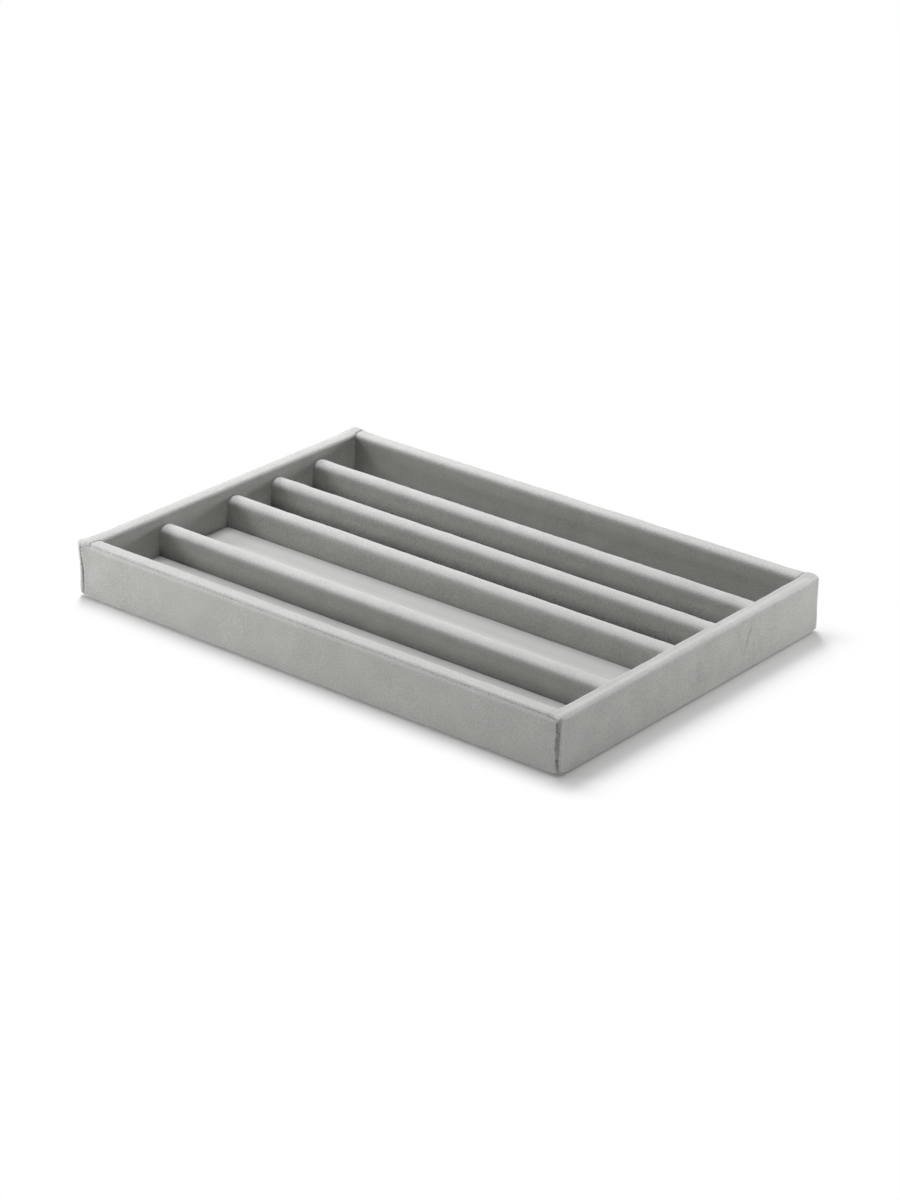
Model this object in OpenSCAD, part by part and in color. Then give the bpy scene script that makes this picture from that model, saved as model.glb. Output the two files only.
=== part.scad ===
// Velour covered jewelry tray: a wrapped board frame, four fixed dividers and five channels with
// covered floor pads. X runs along the channels, Y from front to back, Z up; the origin is on the
// surface that the tray stands on, under its middle.

/* [Tray] */
// Outside length, from left to right
tray_w = 350; // [240:5:450]
// Height of the walls over the surface
tray_h = 35; // [28:0.5:60]

/* [Channels, front to back] */
// Clear width of the front channel
channel_1 = 47.2; // [24:0.1:80]
// Clear width of the second channel
channel_2 = 50; // [24:0.1:80]
// Clear width of the third channel
channel_3 = 29.6; // [24:0.1:80]
// Clear width of the fourth channel
channel_4 = 29.6; // [24:0.1:80]
// Clear width of the back channel
channel_5 = 31; // [24:0.1:80]

/* [Boards] */
// Thickness of the four wall boards
wall_board = 8; // [6:0.5:12]
// Thickness of the divider boards
divider_board = 8; // [5:0.5:12]
// How far the divider tops lie below the wall tops
divider_drop = 6.2; // [3:0.1:10]
// Thickness of the base board
base_board_t = 6; // [3:0.5:9]

/* [Velour] */
// Thickness of the velour on the walls and dividers
velour = 0.8; // [0.4:0.1:1.2]
// Radius of the walls' top edges, over the velour
wall_edge_r = 2.5; // [1.6:0.1:3.4]
// Radius of the dividers' top edges, over the velour
divider_edge_r = 4.4; // [1.6:0.1:4.6]
// Radius of the walls' bottom outer edges, over the velour
foot_r = 1.3; // [1.3:0.1:2.5]
// Radius of the four upright corners, over the velour
corner_r = 1.8; // [1.3:0.1:1.9]
// How far the end covers turn round the corner onto the front and back
return_w = 2; // [2:0.1:6]
// How far the end covers lap down from the top onto the front and back
top_lap = 3.5; // [3.5:0.1:8]
// How far each cover is turned under the base board
turn_under = 14; // [6:0.5:25]

/* [Floor pads] */
// Thickness of the suedette that covers the floor pads
lining = 0.6; // [0.4:0.1:1]
// Thickness of the card in the floor pads
card_t = 1.6; // [1:0.1:3]
// Radius of the pads' top edges, over the lining
pad_edge_r = 1; // [0.8:0.1:1.5]
// Gap between a floor pad and the walls round it
pad_gap = 0.2; // [0.1:0.05:0.5]
// How far the lining is turned under the card
pad_turn = 9; // [4:0.5:10]

/* [Underside] */
// Thickness of the paper sheet under the tray
sheet_t = 0.5; // [0.2:0.1:1]
// Distance of the sheet's edge from the tray's outline
sheet_inset = 5; // [3:0.5:12]
// Gap round the card that fills between the turned-under edges
infill_gap = 0.5; // [0.2:0.1:2]

/* [Brads] */
// Length of a brad
brad_len = 22; // [16:1:30]
// Diameter of a brad's shank
brad_d = 1.2; // [1:0.1:1.6]
// Diameter of a brad's head
brad_head_d = 2; // [1.8:0.1:2.6]
// Thickness of a brad's head
brad_head_t = 0.6; // [0.4:0.1:1]
// Length of a brad's point
brad_tip = 2; // [1:0.1:3]

/* [Hidden] */
$fn = 48;

// Overrun of every cut past the solid that it cuts
overrun = 1;

// Thickness of a covered wall and a covered divider
wall_t = wall_board + 2 * velour;
divider_t = divider_board + 2 * velour;

// Channels and dividers, counted from the front
channels = [channel_1, channel_2, channel_3, channel_4, channel_5];
divider_count = len(channels) - 1;
function width_before(i) = i == 0 ? 0 : channels[i - 1] + width_before(i - 1);
tray_d = 2 * wall_t + divider_count * divider_t + width_before(len(channels));
function channel_y(i) = -tray_d / 2 + wall_t + width_before(i) + i * divider_t;
function divider_y(i) = channel_y(i) + channels[i] + divider_t / 2;

// Depth of the boards' faces inside the outline
board_out = velour;
board_in = velour + wall_board;
flap_w = board_in + turn_under;

// Heights, from the surface up
board_z = sheet_t + velour;
base_top = board_z + base_board_t;
card_z = base_top + lining;
floor_top = card_z + card_t + lining;
divider_top = tray_h - divider_drop;

// Room between the end walls, and the rounding that a divider can take
inside_w = tray_w - 2 * wall_t;
divider_r = min(divider_edge_r, divider_t / 2);

// Places of the brads, as shares of the board that they hold
corner_brad_shares = [0.3, 0.75];
divider_brad_shares = [0.35, 0.7];
base_end_brad_shares = [-0.3, 0, 0.3];
base_side_brad_shares = [-0.36, -0.12, 0.12, 0.36];

// Colours
velour_grey = [0.71, 0.72, 0.69];
lining_grey = [0.77, 0.77, 0.75];
board_brown = [0.66, 0.55, 0.42];
card_grey = [0.55, 0.55, 0.53];
paper_grey = [0.42, 0.42, 0.41];
steel_grey = [0.62, 0.63, 0.65];

// What a rounding takes off a corner: at the origin, towards the sides su and sz
module corner_waste(r, su, sz) {
    difference() {
        translate([su > 0 ? -r : -overrun, sz > 0 ? -r : -overrun])
            square(r + overrun);
        translate([-su * r, -sz * r])
            circle(r);
    }
}

// Upright section from u0 to u1 and z0 to z1; foot_a and foot_b round its bottom corners
module section(u0, u1, z0, z1, top, foot_a, foot_b) {
    difference() {
        translate([u0, z0])
            square([u1 - u0, z1 - z0]);
        translate([u0, z1])
            corner_waste(top, -1, 1);
        translate([u1, z1])
            corner_waste(top, 1, 1);
        if (foot_a > 0)
            translate([u0, z0])
                corner_waste(foot_a, -1, -1);
        if (foot_b > 0)
            translate([u1, z0])
                corner_waste(foot_b, 1, -1);
    }
}

// A section drawn in Y and Z, run along X
module along_x(length) {
    rotate([90, 0, 90])
        linear_extrude(length, center = true)
            children();
}

// A section drawn in X and Z, run along Y
module along_y(length) {
    rotate([90, 0, 0])
        linear_extrude(length, center = true)
            children();
}

// Box between two corners
module box(low, high) {
    translate(low)
        cube(high - low);
}

// Section of the room inside a wall that stands at u = 0 and is all round smaller by inset
module room_section(inset) {
    translate([wall_t - inset, -overrun])
        square([tray_w, tray_h + 2 * overrun]);
    translate([wall_t - inset, tray_h - inset])
        corner_waste(wall_edge_r - inset, 1, 1);
}

// Section of the whole tray across a span, all round smaller by inset
module tray_section(span, inset) {
    section(inset - span / 2, span / 2 - inset, sheet_t + inset, tray_h - inset,
        wall_edge_r - inset, foot_r - inset, foot_r - inset);
}

// The tray's outside form, all round smaller by inset
module outside(inset) {
    intersection() {
        along_x(tray_w + overrun)
            tray_section(tray_d, inset);
        along_y(tray_d + overrun)
            tray_section(tray_w, inset);
        linear_extrude(tray_h + overrun)
            plan(inset);
    }
}

// Outline from above, with rounded corners, all round smaller by inset
module plan(inset) {
    r = corner_r - inset;
    difference() {
        square([tray_w - 2 * inset, tray_d - 2 * inset], center = true);
        for (sx = [-1, 1], sy = [-1, 1])
            translate([sx * (tray_w / 2 - inset), sy * (tray_d / 2 - inset)])
                corner_waste(r, sx, sy);
    }
}

// The tray's front side from outline to outline, all round smaller by inset
module front_bar(inset) {
    difference() {
        outside(inset);
        translate([0, -tray_d / 2, 0])
            along_x(tray_w + overrun)
                room_section(inset);
    }
}

// The tray's left side from outline to outline, all round smaller by inset
module left_bar(inset) {
    difference() {
        outside(inset);
        translate([-tray_w / 2, 0, 0])
            along_y(tray_d + overrun)
                room_section(inset);
    }
}

// Space under the boards, inside the line of the outline, for a cover's turned-under edge
module flap_strip(low, high) {
    intersection() {
        outside(0);
        box([low[0], low[1], sheet_t], [high[0], high[1], board_z]);
    }
}

// The front cover's side of the mitred corner, under the boards
module front_mitre_side() {
    translate([0, 0, -overrun])
        linear_extrude(board_z + overrun)
            polygon([
                [-tray_w / 2 + return_w, -tray_d / 2 - overrun],
                [-tray_w / 2 + return_w, -tray_d / 2],
                [-tray_w / 2 + flap_w, -tray_d / 2 + flap_w],
                [-tray_w / 2 + flap_w + overrun, -tray_d / 2 + flap_w],
                [-tray_w / 2 + flap_w + overrun, -tray_d / 2 - overrun]
            ]);
}

// The end cover's side of the mitred corner, under the boards
module end_mitre_side() {
    translate([0, 0, -overrun])
        linear_extrude(board_z + overrun)
            polygon([
                [-tray_w / 2 - overrun, -tray_d / 2 - overrun],
                [-tray_w / 2 + return_w, -tray_d / 2 - overrun],
                [-tray_w / 2 + return_w, -tray_d / 2],
                [-tray_w / 2 + flap_w, -tray_d / 2 + flap_w],
                [-tray_w / 2 + flap_w, -tray_d / 2 + flap_w + overrun],
                [-tray_w / 2 - overrun, -tray_d / 2 + flap_w + overrun]
            ]);
}

// Drawn at the left and the right end
module both_ends() {
    children();
    mirror([1, 0, 0])
        children();
}

// Drawn at the front and the back
module both_sides() {
    children();
    mirror([0, 1, 0])
        children();
}

// One brad, with its head at the origin and its point towards -X
module brad() {
    rotate([0, -90, 0]) {
        cylinder(h = brad_head_t, d = brad_head_d);
        cylinder(h = brad_len - brad_tip, d = brad_d);
        translate([0, 0, brad_len - brad_tip])
            cylinder(h = brad_tip, d1 = brad_d, d2 = 0);
    }
}

// Brads through the right wall board into the ends of the front board
module right_front_brads() {
    for (share = corner_brad_shares)
        translate([
            tray_w / 2 - board_out,
            -tray_d / 2 + wall_t / 2,
            board_z + share * (tray_h - velour - board_z)
        ])
            brad();
}

// Brads through the right wall board into the dividers
module right_divider_brads() {
    for (i = [0 : divider_count - 1], share = divider_brad_shares)
        translate([
            tray_w / 2 - board_out,
            divider_y(i),
            base_top + share * (divider_top - velour - base_top)
        ])
            brad();
}

// Brads through the right wall board into the base board
module right_base_brads() {
    for (share = base_end_brad_shares)
        translate([tray_w / 2 - board_out, share * tray_d, board_z + base_board_t / 2])
            brad();
}

// Brads through the front wall board into the base board
module front_base_brads() {
    for (share = base_side_brad_shares)
        translate([share * tray_w, -tray_d / 2 + board_out, board_z + base_board_t / 2])
            rotate([0, 0, -90])
                brad();
}

// All brads in the right wall board
module right_brads() {
    both_sides()
        right_front_brads();
    right_divider_brads();
    right_base_brads();
}

// Steel brads that pin the frame's corners
module corner_brads() {
    color(steel_grey)
        both_ends()
            both_sides()
                right_front_brads();
}

// Steel brads that hold the dividers between the end walls
module divider_brads() {
    color(steel_grey)
        both_ends()
            right_divider_brads();
}

// Steel brads that hold the base board between the walls
module base_brads() {
    color(steel_grey) {
        both_ends()
            right_base_brads();
        both_sides()
            front_base_brads();
    }
}

// Board that closes the frame at the bottom, between the walls
module base_board() {
    color(board_brown)
        difference() {
            box([-tray_w / 2 + board_in, -tray_d / 2 + board_in, board_z],
                [tray_w / 2 - board_in, tray_d / 2 - board_in, base_top]);
            both_ends()
                right_base_brads();
            both_sides()
                front_base_brads();
        }
}

// Card that fills the space between the turned-under edges of the covers
module underside_infill() {
    edge = flap_w + infill_gap;
    color(card_grey)
        box([-tray_w / 2 + edge, -tray_d / 2 + edge, sheet_t],
            [tray_w / 2 - edge, tray_d / 2 - edge, board_z]);
}

// Paper sheet glued over the infill and the turned-under edges
module underside_sheet() {
    color(paper_grey)
        box([-tray_w / 2 + sheet_inset, -tray_d / 2 + sheet_inset, 0],
            [tray_w / 2 - sheet_inset, tray_d / 2 - sheet_inset, sheet_t]);
}

// Front wall board, between the end boards
module front_wall_board() {
    color(board_brown)
        difference() {
            front_bar(velour);
            both_ends() {
                box([-tray_w / 2, -tray_d / 2, 0],
                    [-tray_w / 2 + board_in, -tray_d / 2 + wall_t, tray_h]);
                right_front_brads();
            }
            front_base_brads();
        }
}

module back_wall_board() {
    mirror([0, 1, 0])
        front_wall_board();
}

// Left wall board, which covers the ends of the front and back boards
module left_wall_board() {
    color(board_brown)
        difference() {
            left_bar(velour);
            mirror([1, 0, 0])
                right_brads();
        }
}

module right_wall_board() {
    mirror([1, 0, 0])
        left_wall_board();
}

// Velour round the front wall: inner face, top, outer face and the edge turned under.
// On the outside it runs over the end boards up to the end covers' returns.
module front_wall_cover() {
    color(velour_grey)
        difference() {
            union() {
                front_bar(0);
                flap_strip([-tray_w / 2, -tray_d / 2], [tray_w / 2, -tray_d / 2 + flap_w]);
            }
            front_bar(velour);
            box([-tray_w / 2, -tray_d / 2 + board_in, board_z],
                [tray_w / 2, -tray_d / 2 + flap_w + overrun, base_top]);
            both_ends() {
                intersection() {
                    left_bar(0);
                    box([-tray_w / 2, -tray_d / 2 + board_in, board_z],
                        [-tray_w / 2 + wall_t, 0, tray_h]);
                }
                box([-tray_w / 2 - overrun, -tray_d / 2 + board_out, board_z],
                    [-tray_w / 2 + board_in, -tray_d / 2 + flap_w, tray_h + overrun]);
                box([-tray_w / 2 - overrun, -tray_d / 2 - overrun, tray_h - top_lap],
                    [-tray_w / 2 + board_in, -tray_d / 2 + flap_w, tray_h + overrun]);
                box([-tray_w / 2 - overrun, -tray_d / 2 - overrun, 0],
                    [-tray_w / 2 + return_w, -tray_d / 2 + flap_w, tray_h + overrun]);
                end_mitre_side();
            }
        }
}

module back_wall_cover() {
    mirror([0, 1, 0])
        front_wall_cover();
}

// Velour round the left wall. At each end it turns round the upright corner, laps down over the
// top corner and is mitred under the base against the front and back covers.
module left_wall_cover() {
    color(velour_grey)
        difference() {
            union() {
                left_bar(0);
                flap_strip([-tray_w / 2, -tray_d / 2], [-tray_w / 2 + flap_w, tray_d / 2]);
            }
            left_bar(velour);
            box([-tray_w / 2 + board_in, -tray_d / 2, board_z],
                [-tray_w / 2 + flap_w + overrun, tray_d / 2, base_top]);
            both_sides() {
                box([-tray_w / 2 + board_in, -tray_d / 2 - overrun, board_z],
                    [-tray_w / 2 + flap_w, -tray_d / 2 + board_in, tray_h + overrun]);
                box([-tray_w / 2 + return_w, -tray_d / 2 - overrun, 0],
                    [-tray_w / 2 + flap_w, -tray_d / 2 + board_out, tray_h - top_lap]);
                front_mitre_side();
            }
        }
}

module right_wall_cover() {
    mirror([1, 0, 0])
        left_wall_cover();
}

// Section of a divider from the height foot up, all round smaller by inset
module divider_section(inset, foot) {
    section(inset - divider_t / 2, divider_t / 2 - inset, foot, divider_top - inset,
        divider_r - inset, 0, 0);
}

// Divider board, set on the base board between the covered end walls
module divider_board_at(i) {
    color(board_brown)
        difference() {
            translate([0, divider_y(i), 0])
                along_x(inside_w)
                    divider_section(velour, base_top);
            both_ends()
                right_divider_brads();
        }
}

// Velour over a divider's top and down both sides
module divider_cover_at(i) {
    color(velour_grey)
        difference() {
            translate([0, divider_y(i), 0])
                along_x(inside_w)
                    divider_section(0, base_top);
            translate([0, divider_y(i), 0])
                along_x(inside_w + overrun)
                    divider_section(velour, base_top - overrun);
        }
}

// Card of a floor pad
module floor_card_at(i) {
    edge = pad_gap + lining;
    color(card_grey)
        box([-inside_w / 2 + edge, channel_y(i) + edge, card_z],
            [inside_w / 2 - edge, channel_y(i) + channels[i] - edge, card_z + card_t]);
}

// Suedette over a floor pad's card, turned under all round
module floor_lining_at(i) {
    y0 = channel_y(i) + pad_gap;
    y1 = channel_y(i) + channels[i] - pad_gap;
    x1 = inside_w / 2 - pad_gap;
    color(lining_grey)
        difference() {
            intersection() {
                along_x(2 * x1)
                    section(y0, y1, base_top, floor_top, pad_edge_r, 0, 0);
                translate([0, (y0 + y1) / 2, 0])
                    along_y(y1 - y0 + overrun)
                        section(-x1, x1, base_top, floor_top, pad_edge_r, 0, 0);
            }
            box([-x1 + lining, y0 + lining, card_z], [x1 - lining, y1 - lining, card_z + card_t]);
            box([-x1 + pad_turn, y0 + pad_turn, base_top - overrun],
                [x1 - pad_turn, y1 - pad_turn, card_z + card_t]);
        }
}

base_board();
underside_infill();
underside_sheet();
front_wall_board();
back_wall_board();
left_wall_board();
right_wall_board();
front_wall_cover();
back_wall_cover();
left_wall_cover();
right_wall_cover();
divider_board_at(0);  // divider_1_board
divider_board_at(1);  // divider_2_board
divider_board_at(2);  // divider_3_board
divider_board_at(3);  // divider_4_board
divider_cover_at(0);  // divider_1_cover
divider_cover_at(1);  // divider_2_cover
divider_cover_at(2);  // divider_3_cover
divider_cover_at(3);  // divider_4_cover
floor_card_at(0);  // floor_card_1
floor_card_at(1);  // floor_card_2
floor_card_at(2);  // floor_card_3
floor_card_at(3);  // floor_card_4
floor_card_at(4);  // floor_card_5
floor_lining_at(0);  // floor_lining_1
floor_lining_at(1);  // floor_lining_2
floor_lining_at(2);  // floor_lining_3
floor_lining_at(3);  // floor_lining_4
floor_lining_at(4);  // floor_lining_5
corner_brads();
divider_brads();
base_brads();
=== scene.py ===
from math import cos, hypot, radians, sin

import bmesh
import bpy
from mathutils import Matrix, Vector, noise


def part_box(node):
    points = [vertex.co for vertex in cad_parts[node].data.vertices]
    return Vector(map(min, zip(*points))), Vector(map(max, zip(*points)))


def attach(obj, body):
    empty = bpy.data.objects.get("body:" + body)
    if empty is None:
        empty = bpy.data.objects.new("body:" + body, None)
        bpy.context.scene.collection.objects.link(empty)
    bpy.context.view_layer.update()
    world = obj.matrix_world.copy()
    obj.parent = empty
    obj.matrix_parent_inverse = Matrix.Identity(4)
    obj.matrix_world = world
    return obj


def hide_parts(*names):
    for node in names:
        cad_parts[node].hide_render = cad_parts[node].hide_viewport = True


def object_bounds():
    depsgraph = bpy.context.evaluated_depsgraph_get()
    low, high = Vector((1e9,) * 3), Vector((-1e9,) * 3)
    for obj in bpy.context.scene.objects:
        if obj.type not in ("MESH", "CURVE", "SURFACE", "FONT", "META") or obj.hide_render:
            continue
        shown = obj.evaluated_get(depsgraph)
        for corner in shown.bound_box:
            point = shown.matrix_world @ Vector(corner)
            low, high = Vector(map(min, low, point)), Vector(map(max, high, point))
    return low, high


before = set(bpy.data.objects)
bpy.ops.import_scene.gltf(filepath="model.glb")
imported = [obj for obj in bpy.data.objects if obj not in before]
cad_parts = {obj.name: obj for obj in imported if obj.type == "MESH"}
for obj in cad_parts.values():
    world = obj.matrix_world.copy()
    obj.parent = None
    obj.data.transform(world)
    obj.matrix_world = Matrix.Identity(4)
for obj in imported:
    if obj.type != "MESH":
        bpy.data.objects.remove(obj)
cad_low, cad_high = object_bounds()

# Camera. It stands in front of the tray, to its right and above it, with a long lens, and is
# rolled a little. Its place is measured from the middle of the tray, on the surface it stands on.
lens_mm = 97.5
long_side_mm = 36.0
view_azimuth = radians(38.25)
view_elevation = radians(24.24)
view_roll = radians(1.46)
view_distance = 1.883
aim_right = 0.0021
aim_up = 0.0078

camera_back = Vector((
    sin(view_azimuth) * cos(view_elevation),
    -cos(view_azimuth) * cos(view_elevation),
    sin(view_elevation),
))
level_right = Vector((cos(view_azimuth), sin(view_azimuth), 0))
level_up = camera_back.cross(level_right)
camera_right = level_right * cos(view_roll) + level_up * sin(view_roll)
camera_up = level_up * cos(view_roll) - level_right * sin(view_roll)

camera_data = bpy.data.cameras.new("camera")
camera_data.lens = lens_mm
camera_data.sensor_width = long_side_mm
camera_data.clip_start = 0.05
camera_data.clip_end = 50
camera = bpy.data.objects.new("camera", camera_data)
bpy.context.scene.collection.objects.link(camera)
camera.matrix_world = Matrix.Translation(
    camera_back * view_distance + level_right * aim_right + level_up * aim_up
) @ Matrix((camera_right, camera_up, camera_back)).transposed().to_4x4()
bpy.context.scene.camera = camera

# Studio. A pale table that glows a little, and half as much where the tray touches it, with soft
# lights over the tray, low cards beside it and white all round. The table keeps the tray's shadow,
# turns white away from it, and can be seen through from below.
floor_half = 4.0
floor_white = (0.86, 0.86, 0.86, 1)

# Glow that the table gives to the tray, and the glow that the camera or a gloss sees
floor_glow = 0.25
seen_glow = 0.10

# Distances from the tray at which the table has turned white, and the share of them over which
# the glow rises from contact_glow of its strength, at the foot, to all of it. The dimmer glow near
# the foot is a painted shadow round the tray.
white_reach_x = 0.034
white_reach_y = 0.021
contact_reach = 0.13
contact_glow = 0.5


def add_lamp(name, place, aim, width, depth, watts):
    """Soft rectangular light at place that points at aim."""
    data = bpy.data.lights.new(name, "AREA")
    data.shape = "RECTANGLE"
    data.size = width
    data.size_y = depth
    data.energy = watts
    lamp = bpy.data.objects.new(name, data)
    lamp.rotation_euler = (Vector(aim) - Vector(place)).to_track_quat("-Z", "Y").to_euler()
    lamp.location = place
    lamp.visible_camera = False
    bpy.context.scene.collection.objects.link(lamp)


def new_material(name):
    """Empty node material; returns it with its tree and its Principled shader."""
    material = bpy.data.materials.new(name)
    material.use_nodes = True
    tree = material.node_tree
    return material, tree, tree.nodes["Principled BSDF"]


def add_node(tree, kind, **settings):
    """Adds a node; settings name its properties, or its inputs by their label."""
    node = tree.nodes.new(kind)
    for key, value in settings.items():
        if key in node.bl_rna.properties:
            setattr(node, key, value)
        else:
            node.inputs[key.replace("_", " ")].default_value = value
    return node


add_lamp("overhead_light", (-0.45, 0.27, 1.2), (-0.45, 0.27, 0), 0.45, 0.9, 11)
add_lamp("overhead_right_light", (0.45, 0, 1.2), (0.45, 0, 0), 0.45, 0.45, 3)
add_lamp("left_back_light", (-1.35, 1.35, 1.2), (-1.35, 1.35, 0), 0.45, 0.45, 32)
add_lamp("left_front_light", (-0.92, -0.92, 0.65), (0, 0, 0), 0.5, 0.4, 5)
add_lamp("front_left_card", (-0.57, -0.57, 0.08), (0, 0, 0.07), 0.6, 0.14, 1.9)
add_lamp("back_right_card", (0.57, 0.57, 0.08), (0, 0, 0.07), 0.6, 0.14, 2.85)

world = bpy.data.worlds.new("white_room")
world.use_nodes = True
bpy.context.scene.world = world
tree = world.node_tree
room = tree.nodes["Background"]
room.inputs["Color"].default_value = (1, 1, 1, 1)
room.inputs["Strength"].default_value = 0.0
white = add_node(tree, "ShaderNodeBackground", Color=(1, 1, 1, 1), Strength=1.0)
path = add_node(tree, "ShaderNodeLightPath")
seen = add_node(tree, "ShaderNodeMath", operation="MAXIMUM")
seen_too = add_node(tree, "ShaderNodeMath", operation="MAXIMUM")
choose = add_node(tree, "ShaderNodeMixShader")
tree.links.new(path.outputs["Is Camera Ray"], seen.inputs[0])
tree.links.new(path.outputs["Is Glossy Ray"], seen.inputs[1])
tree.links.new(seen.outputs[0], seen_too.inputs[0])
tree.links.new(path.outputs["Is Transmission Ray"], seen_too.inputs[1])
tree.links.new(seen_too.outputs[0], choose.inputs[0])
tree.links.new(room.outputs[0], choose.inputs[1])
tree.links.new(white.outputs[0], choose.inputs[2])
tree.links.new(choose.outputs[0], tree.nodes["World Output"].inputs["Surface"])

bm = bmesh.new()
bmesh.ops.create_grid(bm, x_segments=1, y_segments=1, size=floor_half)
floor_mesh = bpy.data.meshes.new("floor")
bm.to_mesh(floor_mesh)
bm.free()
floor = bpy.data.objects.new("floor", floor_mesh)
bpy.context.scene.collection.objects.link(floor)

material, tree, shader = new_material("pale_table")
tree.nodes.remove(shader)
matt = add_node(tree, "ShaderNodeBsdfDiffuse", Color=floor_white)
glow = add_node(tree, "ShaderNodeEmission", Color=(1, 1, 1, 1), Strength=floor_glow)
white = add_node(tree, "ShaderNodeEmission", Color=(1, 1, 1, 1), Strength=1.0)
clear = add_node(tree, "ShaderNodeBsdfTransparent")
path = add_node(tree, "ShaderNodeLightPath")
place = add_node(tree, "ShaderNodeTexCoord")
mirrored = add_node(tree, "ShaderNodeVectorMath", operation="ABSOLUTE")
from_tray = add_node(tree, "ShaderNodeVectorMath", operation="SUBTRACT")
from_tray.inputs[1].default_value = (cad_high.x, cad_high.y, 0)
outside = add_node(tree, "ShaderNodeVectorMath", operation="MAXIMUM")
share = add_node(tree, "ShaderNodeVectorMath", operation="DIVIDE")
share.inputs[1].default_value = (white_reach_x, white_reach_y, 1)
reach = add_node(tree, "ShaderNodeVectorMath", operation="LENGTH")
far = add_node(tree, "ShaderNodeMapRange", interpolation_type="SMOOTHSTEP",
               From_Min=0, From_Max=1)
dimmed = add_node(tree, "ShaderNodeMath", operation="MULTIPLY_ADD")
dimmed.inputs[1].default_value = seen_glow - floor_glow
dimmed.inputs[2].default_value = floor_glow
seen = add_node(tree, "ShaderNodeMath", operation="MAXIMUM")
near = add_node(tree, "ShaderNodeMapRange", interpolation_type="SMOOTHSTEP",
                From_Min=0, From_Max=contact_reach, To_Min=contact_glow)
strength = add_node(tree, "ShaderNodeMath", operation="MULTIPLY")
table = add_node(tree, "ShaderNodeAddShader")
far_share = add_node(tree, "ShaderNodeMath", operation="MULTIPLY")
far_mix = add_node(tree, "ShaderNodeMixShader")
side = add_node(tree, "ShaderNodeNewGeometry")
below = add_node(tree, "ShaderNodeMixShader")
tree.links.new(place.outputs["Object"], mirrored.inputs[0])
tree.links.new(mirrored.outputs[0], from_tray.inputs[0])
tree.links.new(from_tray.outputs[0], outside.inputs[0])
tree.links.new(outside.outputs[0], share.inputs[0])
tree.links.new(share.outputs[0], reach.inputs[0])
tree.links.new(reach.outputs["Value"], far.inputs["Value"])
tree.links.new(path.outputs["Is Camera Ray"], seen.inputs[0])
tree.links.new(path.outputs["Is Glossy Ray"], seen.inputs[1])
tree.links.new(seen.outputs[0], dimmed.inputs[0])
tree.links.new(reach.outputs["Value"], near.inputs["Value"])
tree.links.new(dimmed.outputs[0], strength.inputs[0])
tree.links.new(near.outputs["Result"], strength.inputs[1])
tree.links.new(strength.outputs[0], glow.inputs["Strength"])
tree.links.new(matt.outputs[0], table.inputs[0])
tree.links.new(glow.outputs[0], table.inputs[1])
tree.links.new(far.outputs["Result"], far_share.inputs[0])
tree.links.new(seen.outputs[0], far_share.inputs[1])
tree.links.new(far_share.outputs[0], far_mix.inputs[0])
tree.links.new(table.outputs[0], far_mix.inputs[1])
tree.links.new(white.outputs[0], far_mix.inputs[2])
tree.links.new(side.outputs["Backfacing"], below.inputs[0])
tree.links.new(far_mix.outputs[0], below.inputs[1])
tree.links.new(clear.outputs[0], below.inputs[2])
tree.links.new(below.outputs[0], tree.nodes["Material Output"].inputs["Surface"])
floor_mesh.materials.append(material)

bpy.context.scene.view_settings.view_transform = "Standard"

# Frame. Four wall boards, a base board and four divider boards of fine brown fibreboard, glued and
# pinned with thin steel brads. All of it is hidden by the cloth, and is the CAD's own solids.
mm = 0.001


def add_group(name, inputs, outputs):
    """New shader node group; inputs are names with a start value, a colour or a number."""
    group = bpy.data.node_groups.new(name, "ShaderNodeTree")
    for label, value in inputs.items():
        kind = "NodeSocketColor" if isinstance(value, tuple) else "NodeSocketFloat"
        group.interface.new_socket(label, in_out="INPUT", socket_type=kind).default_value = value
    for label, kind in outputs.items():
        group.interface.new_socket(label, in_out="OUTPUT", socket_type=kind)
    return group, group.nodes.new("NodeGroupInput"), group.nodes.new("NodeGroupOutput")


def link(tree, source, target):
    """Joins two sockets, each given as a node and the label or number of its socket."""
    tree.links.new(source[0].outputs[source[1]], target[0].inputs[target[1]])


def noise_in(tree, at, size, detail, roughness=0.5, stretch=None):
    """Noise of about that size in mm at the point; size is a number or a socket of a node."""
    source = add_node(tree, "ShaderNodeTexNoise", Detail=detail, Roughness=roughness)
    if stretch:
        squeeze = add_node(tree, "ShaderNodeMapping", Scale=stretch)
        link(tree, at, (squeeze, "Vector"))
        at = (squeeze, 0)
    link(tree, at, (source, "Vector"))
    if isinstance(size, tuple):
        scale = add_node(tree, "ShaderNodeMath", operation="DIVIDE")
        scale.inputs[0].default_value = 1 / mm
        link(tree, size, (scale, 1))
        link(tree, (scale, 0), (source, "Scale"))
    else:
        source.inputs["Scale"].default_value = 1 / (size * mm)
    return source


def shifted(tree, source, amount):
    """The 0 to 1 value of source, turned to -1 to 1 and multiplied by amount."""
    centre = add_node(tree, "ShaderNodeMath", operation="MULTIPLY_ADD")
    centre.inputs[1].default_value = 2
    centre.inputs[2].default_value = -1
    link(tree, source, (centre, 0))
    times = add_node(tree, "ShaderNodeMath", operation="MULTIPLY")
    link(tree, (centre, 0), (times, 0))
    if isinstance(amount, tuple):
        link(tree, amount, (times, 1))
    else:
        times.inputs[1].default_value = amount
    return (times, 0)


def added(tree, first, second):
    """Sum of two values."""
    total = add_node(tree, "ShaderNodeMath", operation="ADD")
    link(tree, first, (total, 0))
    link(tree, second, (total, 1))
    return (total, 0)


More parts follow.
